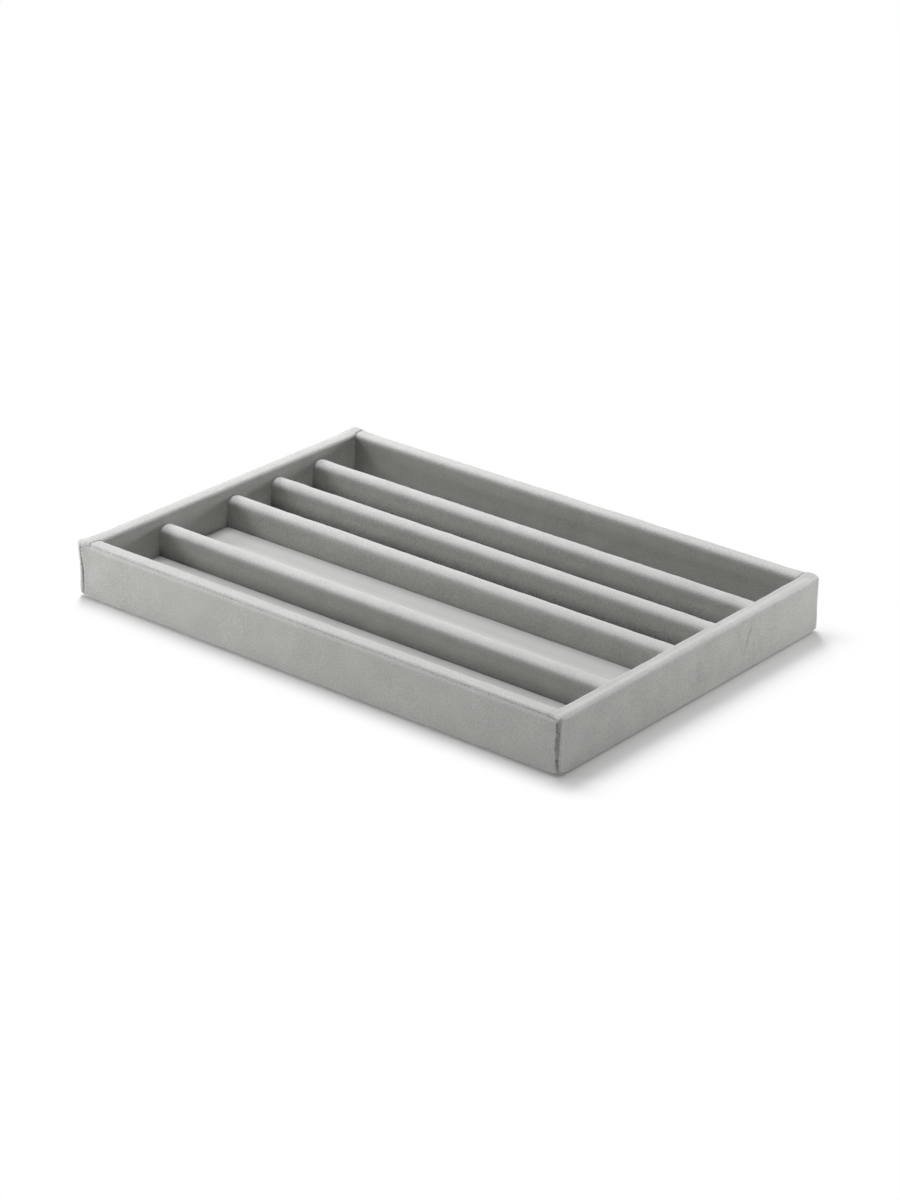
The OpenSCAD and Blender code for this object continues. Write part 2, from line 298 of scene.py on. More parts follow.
def scaled_colour(tree, colour, shade):
    """The colour, made lighter or darker by the share that shade gives."""
    gain = add_node(tree, "ShaderNodeMath", operation="ADD")
    gain.inputs[1].default_value = 1
    link(tree, shade, (gain, 0))
    scaled = add_node(tree, "ShaderNodeVectorMath", operation="SCALE")
    link(tree, colour, (scaled, 0))
    link(tree, (gain, 0), (scaled, "Scale"))
    return (scaled, 0)


# Fibres: a pressed board or paper, finely mottled and streaked along X
fibre_group, fibre_in, fibre_out = add_group(
    "fibres",
    {"Colour": (0.5, 0.5, 0.5, 1), "Size": 0.8, "Amount": 0.2},
    {"Colour": "NodeSocketColor", "Height": "NodeSocketFloat"},
)
at = (add_node(fibre_group, "ShaderNodeTexCoord"), "Object")
flecks = noise_in(fibre_group, at, (fibre_in, "Size"), detail=4, roughness=0.6)
streaks = noise_in(fibre_group, at, (fibre_in, "Size"), detail=2, stretch=(0.2, 1, 1))
shade = added(fibre_group, shifted(fibre_group, (flecks, "Fac"), (fibre_in, "Amount")),
              shifted(fibre_group, (streaks, "Fac"), (fibre_in, "Amount")))
link(fibre_group, scaled_colour(fibre_group, (fibre_in, "Colour"), shade), (fibre_out, "Colour"))
link(fibre_group, shade, (fibre_out, "Height"))


def pressed_material(name, colour, size, amount, roughness):
    """Board, card or paper of pressed fibres."""
    material, tree, shader = new_material(name)
    shader.inputs["Roughness"].default_value = roughness
    fibres = add_node(tree, "ShaderNodeGroup", node_tree=fibre_group)
    fibres.inputs["Colour"].default_value = colour
    fibres.inputs["Size"].default_value = size
    fibres.inputs["Amount"].default_value = amount
    rough = add_node(tree, "ShaderNodeBump", Strength=0.6, Distance=0.05 * mm)
    link(tree, (fibres, "Height"), (rough, "Height"))
    link(tree, (rough, "Normal"), (shader, "Normal"))
    link(tree, (fibres, "Colour"), (shader, "Base Color"))
    return material


def dress(material, *names):
    """Gives the CAD nodes of these names the material; their solids stay as they are."""
    for name in names:
        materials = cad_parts[name].data.materials
        materials.clear()
        materials.append(material)


fibreboard = pressed_material("fibreboard", (0.39, 0.28, 0.175, 1), 0.7, 0.3, 0.85)
dress(fibreboard, "base_board", "front_wall_board", "back_wall_board", "left_wall_board",
      "right_wall_board", "divider_1_board", "divider_2_board", "divider_3_board",
      "divider_4_board")

steel, tree, shader = new_material("steel")
shader.inputs["Base Color"].default_value = (0.52, 0.53, 0.55, 1)
shader.inputs["Metallic"].default_value = 1
shader.inputs["Roughness"].default_value = 0.35
drawn = noise_in(tree, (add_node(tree, "ShaderNodeTexCoord"), "Object"), 0.3, detail=2)
wire = add_node(tree, "ShaderNodeBump", Strength=0.3, Distance=0.02 * mm)
link(tree, (drawn, "Fac"), (wire, "Height"))
link(tree, (wire, "Normal"), (shader, "Normal"))
dress(steel, "corner_brads", "divider_brads", "base_brads")

# Velour. The walls and dividers are wrapped in a pale grey cotton velour, 0.8 mm thick, with a
# short pile that is brushed to no one side. It shows a fine grain and soft cloudy patches. Light and
# shade are painted into it: it is painted paler on the tops, their bends and the upright corners,
# and painted darker in the dips at the seams, in the creases and low on the inner faces.
# How much the painted light takes saturation out of the colour where it makes it paler
painted_light_fade = 1.2

pile_group, pile_in, pile_out = add_group(
    "pile",
    {"Colour": (0.5, 0.5, 0.5, 1), "Grain Size": 0.7, "Grain": 0.1, "Clouds": 0.05,
     "Tufts": 0.0, "Tuft Size": 0.9, "Painted Light And Fray": 0.0},
    {"Colour": "NodeSocketColor", "Height": "NodeSocketFloat"},
)
at = (add_node(pile_group, "ShaderNodeTexCoord"), "Object")
grain = noise_in(pile_group, at, (pile_in, "Grain Size"), detail=3, roughness=0.65)
clouds = noise_in(pile_group, at, 14, detail=2)
tufts = noise_in(pile_group, at, (pile_in, "Tuft Size"), detail=2, roughness=0.6)
tuft_shade = shifted(pile_group, (tufts, "Fac"), (pile_in, "Tufts"))
shade = added(pile_group, shifted(pile_group, (grain, "Fac"), (pile_in, "Grain")),
              shifted(pile_group, (clouds, "Fac"), (pile_in, "Clouds")))
# Painted light and shade are added to the colour here
shade = added(pile_group, added(pile_group, shade, tuft_shade), (pile_in, "Painted Light And Fray"))
faded = add_node(pile_group, "ShaderNodeHueSaturation")
tint = add_node(pile_group, "ShaderNodeMath", operation="MULTIPLY_ADD", use_clamp=True)
tint.inputs[1].default_value = -painted_light_fade
tint.inputs[2].default_value = 1
link(pile_group, (pile_in, "Painted Light And Fray"), (tint, 0))
link(pile_group, (tint, 0), (faded, "Saturation"))
link(pile_group, scaled_colour(pile_group, (pile_in, "Colour"), shade), (faded, "Color"))
link(pile_group, (faded, 0), (pile_out, "Colour"))
link(pile_group, added(pile_group, shifted(pile_group, (grain, "Fac"), 0.5), tuft_shade),
     (pile_out, "Height"))


def cloth_material(name, colour, grain_size, grain, clouds, sheen, depth):
    """Napped cloth. Attribute "tufted" roughens it; another paints light and shade and a frayed line.
    """
    material, tree, shader = new_material(name)
    shader.inputs["Roughness"].default_value = 0.95
    shader.inputs["Specular IOR Level"].default_value = 0.15
    shader.inputs["Sheen Weight"].default_value = sheen
    shader.inputs["Sheen Roughness"].default_value = 0.3
    pile = add_node(tree, "ShaderNodeGroup", node_tree=pile_group)
    pile.inputs["Colour"].default_value = colour
    pile.inputs["Grain Size"].default_value = grain_size
    pile.inputs["Grain"].default_value = grain
    pile.inputs["Clouds"].default_value = clouds
    link(tree, (add_node(tree, "ShaderNodeAttribute", attribute_name="tufted"), "Fac"),
         (pile, "Tufts"))
    link(tree, (add_node(tree, "ShaderNodeAttribute", attribute_name="painted_light_and_fray"), "Fac"), (pile, "Painted Light And Fray"))
    dents = add_node(tree, "ShaderNodeBump", Strength=1.0, Distance=depth * mm)
    link(tree, (pile, "Height"), (dents, "Height"))
    link(tree, (dents, "Normal"), (shader, "Normal"))
    link(tree, (pile, "Colour"), (shader, "Base Color"))
    return material


velour = cloth_material("velour", (0.444, 0.448, 0.426, 1), grain_size=0.8, grain=0.5,
                        clouds=0.10, sheen=0.25, depth=0.08)

# Front and back covers. One strip of velour each, glued to the wall board: up the inner face,
# over the top, down the outer face and turned under the base. On the outside it runs on over the
# end boards to the end covers, which are turned round the corner; on top it is tucked under them.
outer_x, outer_y, wall_top = cad_high
end_board_low, end_board_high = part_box("left_wall_board")
velour_t = end_board_low.x - cad_low.x
wall_t = end_board_high.x - end_board_low.x + 2 * velour_t
board_in = wall_t - velour_t
under_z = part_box("underside_sheet")[1].z
base_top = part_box("base_board")[1].z
flap_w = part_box("left_wall_cover")[1].x - cad_low.x
return_w = 2.0 * mm
lap_z = wall_top - 3.5 * mm
lap_rise = 1.6 * mm
tuck = 1.2 * mm
foot_r = 1.3 * mm
corner_r = 1.8 * mm

# Depth of the finely cut rim under the tops, and of the line that parts a wall's two faces
rim_depth = 6 * mm
face_split = 5 * mm

# How near a seam the cloth follows it, how wide a lap's rim is, how deep a dip can get, where a
# corner is fullest, and how far the folds stay inside the foot
seam_reach = 6 * mm
lap_rim = 0.9 * mm
deepest_dip = 0.7 * mm
belly_z = 7 * mm
foot_inset = 0.4 * mm

# Longest edges where the cloth bends and where it is flat, how near a plane and each other points
# count as one, and the angle from which an edge is sharp
fine = 0.35 * mm
coarse = 1.1 * mm
on_plane = 1e-7
same_place = 1e-6
sharp_angle = radians(50)

# Radius of each wall's outer and inner top edge, by its side
front_back_r = {-1: (1.4 * mm, 2.9 * mm), 1: (2.5 * mm, 3.0 * mm)}
left_right_r = {-1: (2.5 * mm, 2.0 * mm), 1: (2.6 * mm, 2.8 * mm)}

# How the velour lies at each corner, by end and side, in mm. The seam beside the return is set out
# by "out" and wanders in by "wander" towards the foot, with a dip "dip" wide beside it. The lap
# stands "proud" and is cut "short". The bunched cloth inside fills the corner out by "fill" near
# the foot and by "bulge" near the top, and draws the foot up by "foot" and the top by "lift".
corner_habit = {
    (-1, -1): dict(out=0.3, wander=1.6, dip=1.2, proud=0.15, short=0,
                   fill=0.7, bulge=1.5, foot=1.3, lift=0.7),
    (1, -1): dict(out=1.3, wander=0.1, dip=3.2, proud=0.05, short=1.5,
                  fill=0.1, bulge=0.1, foot=1.3, lift=0.1),
    (-1, 1): dict(out=0, wander=0.8, dip=1.2, proud=0.40, short=0,
                  fill=0.6, bulge=0.3, foot=0.8, lift=1.0),
    (1, 1): dict(out=0, wander=0.5, dip=1.2, proud=0.50, short=0,
                 fill=0.7, bulge=0, foot=1.0, lift=0.8),
}


def draw_out(bm, edges, run):
    """Draws the edges out along a straight run, which adds a strip of faces."""
    drawn = bmesh.ops.extrude_edge_only(bm, edges=edges)["geom"]
    far_verts = [part for part in drawn if isinstance(part, bmesh.types.BMVert)]
    bmesh.ops.translate(bm, verts=far_verts, vec=run)


def strip(line, axis, start, end):
    """Sheet through the points of a line, drawn out straight along an axis from start to end."""
    bm = bmesh.new()
    verts = [bm.verts.new(point) for point in line]
    for pair in zip(verts, verts[1:]):
        bm.edges.new(pair)
    bmesh.ops.translate(bm, verts=bm.verts[:], vec=axis * start)
    draw_out(bm, bm.edges[:], axis * (end - start))
    return bm


def cut_at(bm, axis, places):
    """Splits every face along planes across an axis."""
    for place in places:
        bmesh.ops.bisect_plane(bm, geom=bm.verts[:] + bm.edges[:] + bm.faces[:], dist=on_plane,
                               plane_co=axis * place, plane_no=axis)


def drop_faces(bm, unwanted):
    """Deletes the faces whose middle is unwanted."""
    gone = [face for face in bm.faces if unwanted(face.calc_center_median())]
    bmesh.ops.delete(bm, geom=gone, context="FACES")


def refine(bm, step):
    """Splits the straight edges, one axis after the other; step gives the longest for a place."""
    for index in range(3):
        groups = {}
        for edge in bm.edges:
            run = edge.verts[1].co - edge.verts[0].co
            length = abs(run[index])
            if length < 0.9 * run.length:
                continue
            middle = (edge.verts[0].co + edge.verts[1].co) / 2
            cuts = int(length / step(index, middle) + 0.999) - 1
            if cuts > 0:
                groups.setdefault(cuts, []).append(edge)
        for cuts, edges in groups.items():
            bmesh.ops.subdivide_edges(bm, edges=edges, cuts=cuts, use_grid_fill=True)


def round_bend(bm, first, second, radius):
    """Rounds the bend between two flat sides, each given as its axis, its place and its way out."""
    for vert in bm.verts:
        across = (vert.co[first[0]] - first[1]) * first[2] + radius
        along = (vert.co[second[0]] - second[1]) * second[2] + radius
        if across > 0 and along > 0:
            scale = max(across, along) / hypot(across, along)
            vert.co[first[0]] += (scale - 1) * across * first[2]
            vert.co[second[0]] += (scale - 1) * along * second[2]


def fading(distance, width):
    """1 at no distance, falling smoothly to 0 at the width."""
    share = min(1.0, abs(distance) / width)
    return 1 - share * share * (3 - 2 * share)


def soft_noise(co, size, shift=0.0):
    """Smooth noise, about -0.5 to 0.5, with swells of about the size in metres."""
    return noise.noise(Vector((co.x / size + shift, co.y / size - shift, co.z / size + 2 * shift)))


def swell(bm, amount):
    """Moves each point along its normal by what amount says for its place."""
    bm.normal_update()
    moves = [(vert, vert.normal * amount(vert.co)) for vert in bm.verts]
    for vert, move in moves:
        vert.co += move


def face_out(bm):
    """Turns the sheet's normals outwards, which is up on its top."""
    bmesh.ops.recalc_face_normals(bm, faces=bm.faces[:])
    top = max(bm.faces, key=lambda face: face.calc_center_median().z)
    if top.normal.z < 0:
        bmesh.ops.reverse_faces(bm, faces=bm.faces[:])


def mark(bm, label, amount):
    """Stores a number for the material at each point, which amount works out for its place."""
    layer = bm.verts.layers.float.new(label)
    for vert in bm.verts:
        vert[layer] = amount(vert.co)


def make_piece(bm, name, material, slot, *nodes):
    """Turns the mesh into an object that stands for CAD nodes and rides on the tray."""
    mesh = bpy.data.meshes.new(name)
    for face in bm.faces:
        face.smooth = True
    bm.to_mesh(mesh)
    bm.free()
    mesh.set_sharp_from_angle(angle=sharp_angle)
    mesh.materials.append(material)
    piece = bpy.data.objects.new(name, mesh)
    bpy.context.scene.collection.objects.link(piece)
    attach(piece, "root")
    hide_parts(*nodes)


axis_x, axis_y, axis_z = Vector((1, 0, 0)), Vector((0, 1, 0)), Vector((0, 0, 1))

# Planes of the walls' inner faces, of the butted edges and of the returns' borders, the height
# below which a face is part of a turned-under edge, and the height of the rounded foot
side_x = outer_x - wall_t
side_y = outer_y - wall_t
butt_x = outer_x - board_in
butt_y = outer_y - board_in
end_x = outer_x - return_w
under_edge_z = under_z + foot_r / 4
foot_top = under_z + foot_r


def wall_step(index, middle):
    """Longest edge along an axis at a place on a wall's cover."""
    if middle.z < under_edge_z:
        return 4 * mm if index == 1 else coarse
    if index == 2:
        return fine if middle.z > wall_top - rim_depth or middle.z < foot_top else coarse
    from_out = outer_x - abs(middle.x) if index == 0 else outer_y - abs(middle.y)
    return fine if from_out < wall_t + 3 * mm else coarse


def wall_relief(co):
    """How far the velour stands off its board: soft swells all over, rougher along the tops."""
    if co.z < foot_top:
        return 0
    height = soft_noise(co, 30 * mm) * 0.20 * mm
    edge = fading(co.z - (wall_top - 1.5 * mm), 4 * mm)
    height += edge * soft_noise(co, 9 * mm, 3.0) * 0.16 * mm
    height += edge * soft_noise(co, 2.2 * mm, 7.0) * 0.05 * mm
    return height


def habit(co, what):
    """What the velour does at the corner that a point is nearest to."""
    return corner_habit[1 if co.x > 0 else -1, 1 if co.y > 0 else -1][what] * mm


def from_corner(co):
    """Distance of a point from the nearest upright corner, measured along the walls."""
    return max(0.0, outer_x - abs(co.x)) + max(0.0, outer_y - abs(co.y))


def corner_fill(co):
    """How far bunched cloth fills out the upright corner, most of all near its foot or its top."""
    low = habit(co, "fill") * (0.3 + 0.7 * fading(co.z - belly_z, 14 * mm))
    high = habit(co, "bulge") * fading(wall_top - co.z, 24 * mm)
    upright = max(0.0, min(1.0, (wall_top - co.z) / (1.5 * mm), (co.z - under_z) / foot_r))
    return fading(from_corner(co), 10 * mm) * upright * (low + high)


def lift_corners(bm):
    """Draws the feet and the tops of the corners up, where the velour is bunched under them."""
    for vert in bm.verts:
        co = vert.co
        away = from_corner(co)
        foot = habit(co, "foot") * fading(away, 9 * mm) * fading(co.z, 10 * mm)
        co.z += foot + habit(co, "lift") * fading(away, 26 * mm) * fading(wall_top - co.z, 14 * mm)


def settle_foot(bm):
    """Keeps the folds of the turned-under edge inside the rounded foot."""
    for vert in bm.verts:
        co = vert.co
        co.z = max(co.z, under_z)
        if co.z < under_z + foot_inset:
            co.x = max(-outer_x + foot_inset, min(outer_x - foot_inset, co.x))
            co.y = max(-outer_y + foot_inset, min(outer_y - foot_inset, co.y))


def seam_at(co):
    """How far from the middle the seam beside the nearest return runs at the point's height."""
    return end_x + habit(co, "out") - habit(co, "wander") * fading(co.z - belly_z, 22 * mm)


def lap_edge(co):
    """Height of the lap's lower edge, which rises inwards from the seam."""
    share = min(1.0, max(0.0, (end_x - abs(co.x)) / (end_x - butt_x)))
    rise = lap_rise * share * fading(max(0.0, butt_x - abs(co.x)), 5 * mm)
    return min(lap_z + habit(co, "short") + rise, wall_top - 1.4 * mm)


def bend_seams(bm):
    """Moves the borders of the return and the lap, cut straight at first, to where they run."""
    for vert in bm.verts:
        co = vert.co
        if outer_y - abs(co.y) > 0.05 * mm:
            continue
        from_seam = abs(co.x) - end_x
        share = 1 - from_seam / return_w if from_seam > 0 else 1 + from_seam / seam_reach
        share = max(0.0, share) * fading(max(0.0, co.z - lap_z), wall_top - lap_z)
        run = (seam_at(co) - end_x) * share * (1 if co.x > 0 else -1)
        above = co.z - lap_z
        if above > 0:
            height_share = 1 - above / (wall_top - lap_z)
        else:
            height_share = max(0.0, 1 + above / seam_reach)
        co.z += (lap_edge(co) - lap_z) * height_share
        co.x += run


def mitre(bm, end, way, keep_side):
    """Cuts a cover's turned-under edge along the mitre; keep_side is "long" or "end"."""
    flap = [face for face in bm.faces if face.calc_center_median().z < under_edge_z]
    parts = {part for face in flap for part in (*face.verts, *face.edges, face)}
    across = Vector((end * flap_w, way * (return_w - flap_w), 0))
    if keep_side == "end":
        across = -across
    bmesh.ops.bisect_plane(bm, geom=list(parts), dist=on_plane, clear_outer=True,
                           plane_co=(end * end_x, way * outer_y, under_z), plane_no=across)


def lap_dip(co):
    """Share, 0 to 1, by which a point on a long cover is pressed down beside the lap over it."""
    away = hypot(max(0.0, butt_x - abs(co.x)), max(0.0, lap_edge(co) - co.z))
    shown = min(1.0, habit(co, "proud") / (0.2 * mm))
    if co.z < lap_edge(co):
        shown = max(shown, 0.7)
    return shown * fading(away, lap_rim)


def seam_dip(co):
    """Share, 0 to 1, by which a point on a long cover lies in the dip beside the return."""
    if outer_y - abs(co.y) > board_in / 2 or co.z > lap_edge(co):
        return 0
    width = habit(co, "dip") * (0.4 + 0.6 * min(1.0, co.z / (25 * mm)))
    width *= 1 + 0.6 * soft_noise(co, 3 * mm, 5.0)
    inside = fading(max(0.0, seam_at(co) - abs(co.x) - width + 0.7 * mm), 0.7 * mm)
    return inside * min(1.0, max(0.0, (co.z - under_z) / (4 * mm)))


def long_relief(co):
    """Relief of a long cover: pressed down under the lap and beside the return."""
    height = wall_relief(co) + corner_fill(co)
    dip = max(0.45 * mm * lap_dip(co), 0.62 * mm * seam_dip(co))
    return max(height - dip, -deepest_dip)


def rim_line(co):
    """Share, 0 to 1, by which a point lies on the frayed line under a wall's outer top edge."""
    return fading(co.z - (wall_top - 1.4 * mm), 1.1 * mm)


def painted_top_light(below, top_light, reach, bend_light, bend_at, spread):
    """Painted light, by depth below a top: how much paler the colour is painted on the top and its
    bend.
    """
    return top_light * fading(below, reach) + bend_light * fading(below - bend_at, spread)


def long_wall_cover(name, node, way):
    """Cover of the front wall, where way is -1, or of the back wall, where it is 1."""
    outer_r, inner_r = front_back_r[way]
    bm = strip([
        (0, way * side_y, base_top),
        (0, way * side_y, wall_top),
        (0, way * outer_y, wall_top),
        (0, way * outer_y, under_z),
        (0, way * (outer_y - flap_w), under_z),
    ], axis_x, -end_x, end_x)
    stations = [butt_x + tuck, side_x, side_x - 3 * mm]
    cut_at(bm, axis_x, stations + [-place for place in stations])
    cut_at(bm, axis_z, [lap_z, wall_top - rim_depth, foot_top])
    cut_at(bm, axis_y, [way * (outer_y - foot_r), way * butt_y])

    def past_end(centre):
        if centre.z < under_edge_z:
            return False
        inwards = outer_y - abs(centre.y)
        if abs(centre.x) > butt_x + tuck and (centre.z > lap_z or inwards > velour_t):
            return True
        return abs(centre.x) > side_x and inwards > board_in

    drop_faces(bm, past_end)
    mitre(bm, -1, way, "long")
    mitre(bm, 1, way, "long")
    refine(bm, wall_step)
    face_out(bm)
    bend_seams(bm)
    round_bend(bm, (1, way * outer_y, way), (2, wall_top, 1), outer_r)
    round_bend(bm, (1, way * side_y, -way), (2, wall_top, 1), inner_r)
    round_bend(bm, (1, way * outer_y, way), (2, under_z, -1), foot_r)
    swell(bm, long_relief)

    def tufts(co):
        outside = outer_y - abs(co.y) < 1.5 * mm
        frayed = rim_line(co) if outside else 0.3 * rim_line(co)
        return max(0.9 * frayed, 0.5 * lap_dip(co), 0.35 * seam_dip(co))

    def painted_light_and_fray(co):
        below = wall_top - co.z
        # Painted shade darkens the dips beside the lap and the return
        pressed = 0.20 * lap_dip(co) + 0.42 * seam_dip(co)
        if abs(co.y) < outer_y - face_split:
            # On the back wall a painted highlight lies on the inner bend, and painted shade darkens
            # the inner face below it
            if way > 0:
                pressed -= 0.12 * fading(below - 2.8 * mm, 1.4 * mm)
                pressed += 0.15 * min(1.0, max(0.0, (below - 0.5 * mm) / (3 * mm)))
            # Painted light makes the top and its inner bend paler
            return painted_top_light(below, 0.46, 2.6 * mm, 0.10, 1.2 * mm, 1.4 * mm) - pressed
        frayed = fading(below - 1.5 * mm, 1.0 * mm) * (0.02 + 0.5 * soft_noise(co, 0.9 * mm, 9.0))
        # Painted light makes the outer top and the face just under it paler
        paler = 0.2 * fading(below - 2.6 * mm, 2.4 * mm)
        return 0.46 * fading(below, 1.4 * mm) + paler - max(0.0, frayed) - pressed

    mark(bm, "tufted", tufts)
    mark(bm, "painted_light_and_fray", painted_light_and_fray)
    bmesh.ops.solidify(bm, geom=bm.faces[:], thickness=velour_t)
    settle_foot(bm)
    lift_corners(bm)
    make_piece(bm, name, velour, "velour", node)


long_wall_cover("front_velour", "front_wall_cover", -1)
long_wall_cover("back_velour", "back_wall_cover", 1)

# End covers. The left and right walls' velour is put on last. At each end it is drawn round the
# upright corner and stuck down on the front and back, and its top is lapped down over the corner.
# The right one is creased where it was drawn tight.

# Each crease: y and z of its two ends, its width and its depth, in mm
crease_right = [
    ((53.0, 26.5), (47.6, 13.7), 1.6, 0.45),
    ((-0.1, 31.2), (3.3, 5.8), 1.2, 0.30),
    ((2.6, 30.0), (5.2, 8.0), 1.2, 0.22),
    ((-5.2, 14.9), (2.7, 1.9), 1.0, 0.25),
    ((36.7, 30.5), (48.7, 11.0), 3.0, 0.12),
    ((59.3, 22.7), (63.9, 8.8), 2.5, 0.12),
]


def crease_depth(co):
    """Depth of the creases in the right wall's outer face at a point."""
    deepest = 0
    for start, finish, width, depth in crease_right:
        run = Vector(finish) - Vector(start)
        place = Vector((co.y / mm, co.z / mm)) - Vector(start)
        share = min(1.0, max(0.0, place.dot(run) / run.length_squared))
        away = (place - run * share).length
        deepest = max(deepest, depth * fading(away, width) * min(1.0, 8 * share * (1 - share)))
    return deepest * mm


def from_border(co):
    """Distance of a point on an end cover's corner from the cover's cut border."""
    above = co.z - lap_edge(co)
    past_seam = abs(co.x) - seam_at(co)
    if above < 0:
        return abs(past_seam)
    return min(abs(co.x) - butt_x, above if past_seam < 0 else hypot(past_seam, above))


def end_relief(co):
    """Relief of an end cover: a whole thickness prouder where it laps the corner, with a soft rim."""
    height = wall_relief(co) + corner_fill(co)
    if abs(co.y) > butt_y:
        border = abs(from_border(co))
        proud = habit(co, "proud")
        lapped = 1 - fading(abs(co.y) - butt_y, 3 * mm)
        lapped *= 1 - fading(outer_x - abs(co.x), 5 * mm)
        height += lapped * proud * (1 - fading(border, lap_rim))
        height -= min(0.35 * mm, 2 * proud + 0.1 * mm) * fading(border, 0.5 * mm)
    if co.x > outer_x - 0.5 * mm:
        height -= crease_depth(co)
    return max(height, -deepest_dip)


def end_wall_cover(name, node, end):
    """Cover of the left wall, where end is -1, or of the right wall, where it is 1."""
    outer_r, inner_r = left_right_r[end]
    bm = strip([
        (end * side_x, 0, base_top),
        (end * side_x, 0, wall_top),
        (end * outer_x, 0, wall_top),
        (end * outer_x, 0, under_z),
        (end * (outer_x - flap_w), 0, under_z),
    ], axis_y, -outer_y, outer_y)
    stations = [butt_y, side_y - 3 * mm]
    cut_at(bm, axis_x, [end * end_x, end * butt_x, end * (outer_x - foot_r)])
    cut_at(bm, axis_y, stations + [-place for place in stations])

    def past_corner(centre):
        inside = outer_x - abs(centre.x) > board_in
        return abs(centre.y) > butt_y and inside and centre.z > under_edge_z

    drop_faces(bm, past_corner)
    for way in (-1, 1):
        rim = [edge for edge in bm.edges
               if all(abs(vert.co.y - way * outer_y) < same_place for vert in edge.verts)
               and all(vert.co.z > under_edge_z for vert in edge.verts)
               and all(outer_x - abs(vert.co.x) < board_in + same_place for vert in edge.verts)]
        upright = [edge for edge in bm.edges
                   if all(abs(vert.co.y - way * outer_y) < same_place for vert in edge.verts)
                   and all(abs(abs(vert.co.x) - outer_x) < same_place for vert in edge.verts)]
        lap = [edge for edge in rim
               if all(abs(vert.co.x) < end_x + same_place for vert in edge.verts)]
        draw_out(bm, upright, (-end * return_w, 0, 0))
        draw_out(bm, lap, (0, 0, lap_z - wall_top))
    cut_at(bm, axis_z, [lap_z, wall_top - rim_depth, foot_top])
    bmesh.ops.remove_doubles(bm, verts=bm.verts[:], dist=same_place)
    mitre(bm, end, -1, "end")
    mitre(bm, end, 1, "end")
    refine(bm, wall_step)
    bmesh.ops.remove_doubles(bm, verts=bm.verts[:], dist=same_place)
    face_out(bm)
    bend_seams(bm)
    for way in (-1, 1):
        round_bend(bm, (0, end * outer_x, end), (1, way * outer_y, way), corner_r)
    round_bend(bm, (0, end * outer_x, end), (2, wall_top, 1), outer_r)
    round_bend(bm, (0, end * side_x, -end), (2, wall_top, 1), inner_r)
    round_bend(bm, (0, end * outer_x, end), (2, under_z, -1), foot_r)
    for way in (-1, 1):
        round_bend(bm, (1, way * outer_y, way), (2, wall_top, 1), front_back_r[way][0])
        round_bend(bm, (1, way * outer_y, way), (2, under_z, -1), foot_r)
    swell(bm, end_relief)

    def tufts(co):
        border = fading(from_border(co), 1.5 * mm) if abs(co.y) > butt_y else 0
        return max(0.3 * rim_line(co), 0.5 * border)

    def painted_light_and_fray(co):
        # Painted light makes the top and its bends paler
        below = wall_top - co.z
        if abs(co.x) < outer_x - face_split:
            return painted_top_light(below, 0.40, 2.2 * mm, 0.06, 1.0 * mm, 1.2 * mm)
        top = painted_top_light(below, 0.43, 3.2 * mm, 0.26, 0.9 * mm, 1.5 * mm)
        # Painted shade darkens the creases, and a painted highlight lightens the upright corners
        creased = crease_depth(co) / mm if co.x > outer_x - 1.5 * mm else 0
        return max(top, 0.38 * fading(from_corner(co), 2.6 * mm)) - 0.4 * creased

    mark(bm, "tufted", tufts)
    mark(bm, "painted_light_and_fray", painted_light_and_fray)
    bmesh.ops.solidify(bm, geom=bm.faces[:], thickness=velour_t)
    settle_foot(bm)
    lift_corners(bm)
    make_piece(bm, name, velour, "velour", node)


end_wall_cover("left_velour", "left_wall_cover", -1)
end_wall_cover("right_velour", "right_wall_cover", 1)

# Dividers. Each is a board on edge, wrapped in one strip of velour up one side, over its rounded
# top and down the other, and pinned between the end walls with its cut ends pressed against them.
divider_edge_r = 4.6 * mm
divider_back_r = 3.6 * mm
floor_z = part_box("floor_lining_1")[1].z

# How much paler each divider's top and front bend is painted, as painted light, and how much darker
# its faces are painted towards the foot, as painted shade
divider_light_shade = {1: (0.38, 0.32), 2: (0.27, 0.05), 3: (0.21, 0.54), 4: (0.22, 0.41)}


def divider_cover(number):
    """Cover of one divider, counted from the front."""
    bend_light, foot_shade = divider_light_shade[number]
    node = "divider_%d_cover" % number
    low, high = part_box(node)
    bm = strip([
        (0, low.y, low.z),
        (0, low.y, high.z),
        (0, high.y, high.z),
        (0, high.y, low.z),
    ], axis_x, low.x, high.x)
    near_end = high.x - 4 * mm
    cut_at(bm, axis_x, [near_end, -near_end])
    cut_at(bm, axis_z, [high.z - divider_edge_r])

    def step(index, middle):
        if index == 0:
            return fine if abs(middle.x) > near_end else coarse
        if index == 1:
            return fine
        return fine if middle.z > high.z - divider_edge_r else coarse

    refine(bm, step)
    face_out(bm)
    round_bend(bm, (1, low.y, -1), (2, high.z, 1), divider_edge_r)
    round_bend(bm, (1, high.y, 1), (2, high.z, 1), divider_back_r)

    def relief(co):
        edge = fading(co.z - high.z, 6 * mm)
        height = soft_noise(co, 24 * mm, number) * 0.16 * mm
        height += edge * soft_noise(co, 8 * mm, number + 3.0) * 0.16 * mm
        height += edge * soft_noise(co, 2.2 * mm, number + 7.0) * 0.05 * mm
        return height - 0.7 * mm * fading(high.x - abs(co.x), 2.6 * mm) * edge

    swell(bm, relief)
    mark(bm, "tufted", lambda co: 0.1 * fading(co.z - (high.z - 1.8 * mm), 2.6 * mm))

    def painted_light_and_fray(co):
        # Painted light makes the top and its bends paler, and painted shade darkens the faces towards
        # the foot
        painted_top = painted_top_light(high.z - co.z, 0.42, 7.0 * mm, bend_light, 1.6 * mm, 2.4 * mm)
        return painted_top - foot_shade * fading(co.z - floor_z, 10 * mm)

    mark(bm, "painted_light_and_fray", painted_light_and_fray)
    bmesh.ops.solidify(bm, geom=bm.faces[:], thickness=velour_t)
    make_piece(bm, "divider_%d_velour" % number, velour, "velour", node)


for number in (1, 2, 3, 4):
    divider_cover(number)

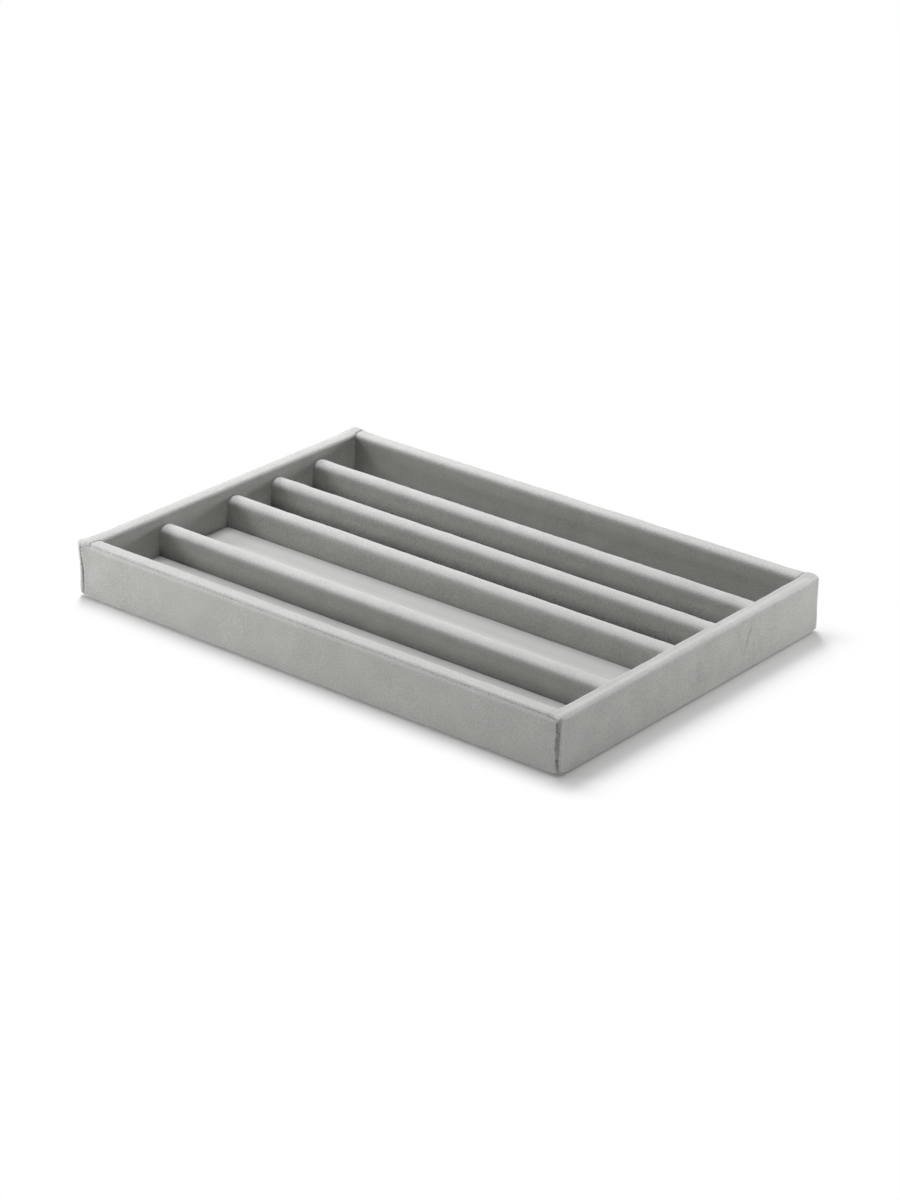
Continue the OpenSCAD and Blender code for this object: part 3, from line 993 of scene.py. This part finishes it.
# Floor pads. A card cut to the channel is covered in a smoother suedette, turned under all round,
# and pressed down between the covered walls.
lining_edge_r = 1.0 * mm
lining_t = 0.6 * mm
lining_turn = 9 * mm
lining_step = 2.0 * mm
suedette = cloth_material("suedette", (0.64, 0.643, 0.623, 1), grain_size=0.6, grain=0.10,
                          clouds=0.03, sheen=0.2, depth=0.08)
grey_card = pressed_material("grey_card", (0.27, 0.27, 0.26, 1), 0.5, 0.25, 0.9)
dress(grey_card, "floor_card_1", "floor_card_2", "floor_card_3", "floor_card_4", "floor_card_5")


def floor_lining(number):
    """Lining of one floor pad, counted from the front."""
    node = "floor_lining_%d" % number
    low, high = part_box(node)
    bm = bmesh.new()
    bmesh.ops.create_cube(bm, size=1)
    bmesh.ops.scale(bm, vec=high - low, verts=bm.verts[:])
    bmesh.ops.translate(bm, vec=(low + high) / 2, verts=bm.verts[:])
    under = min(bm.faces, key=lambda face: face.calc_center_median().z)
    bmesh.ops.inset_region(bm, faces=[under], thickness=lining_turn)
    bmesh.ops.delete(bm, geom=[under], context="FACES")
    flat_x = high.x - lining_edge_r
    flat_y = [low.y + lining_edge_r, high.y - lining_edge_r]
    cut_at(bm, axis_x, [flat_x, -flat_x])
    cut_at(bm, axis_y, flat_y)
    cut_at(bm, axis_z, [high.z - lining_edge_r])

    def step(index, middle):
        if index == 2:
            return fine
        if index == 0:
            near = abs(middle.x) > flat_x
        else:
            near = middle.y < flat_y[0] or middle.y > flat_y[1]
        return fine if near else lining_step

    refine(bm, step)
    face_out(bm)
    for way, place in ((-1, low.y), (1, high.y)):
        for end in (-1, 1):
            round_bend(bm, (0, end * high.x, end), (1, place, way), lining_edge_r)
        round_bend(bm, (1, place, way), (2, high.z, 1), lining_edge_r)
    for end in (-1, 1):
        round_bend(bm, (0, end * high.x, end), (2, high.z, 1), lining_edge_r)
    swell(bm, lambda co: soft_noise(co, 26 * mm, number) * 0.12 * mm)
    mark(bm, "tufted", lambda co: 0)
    mark(bm, "painted_light_and_fray", lambda co: 0)
    bmesh.ops.solidify(bm, geom=bm.faces[:], thickness=lining_t)
    make_piece(bm, "lining_%d" % number, suedette, "suedette", node)


for number in (1, 2, 3, 4, 5):
    floor_lining(number)

# Underside. Grey card fills the middle between the turned-under edges of the velour, and a sheet
# of dark grey backing paper is glued over it and over the edges.
backing_paper = pressed_material("backing_paper", (0.15, 0.15, 0.145, 1), 0.4, 0.3, 0.8)
dress(grey_card, "underside_infill")
dress(backing_paper, "underside_sheet")
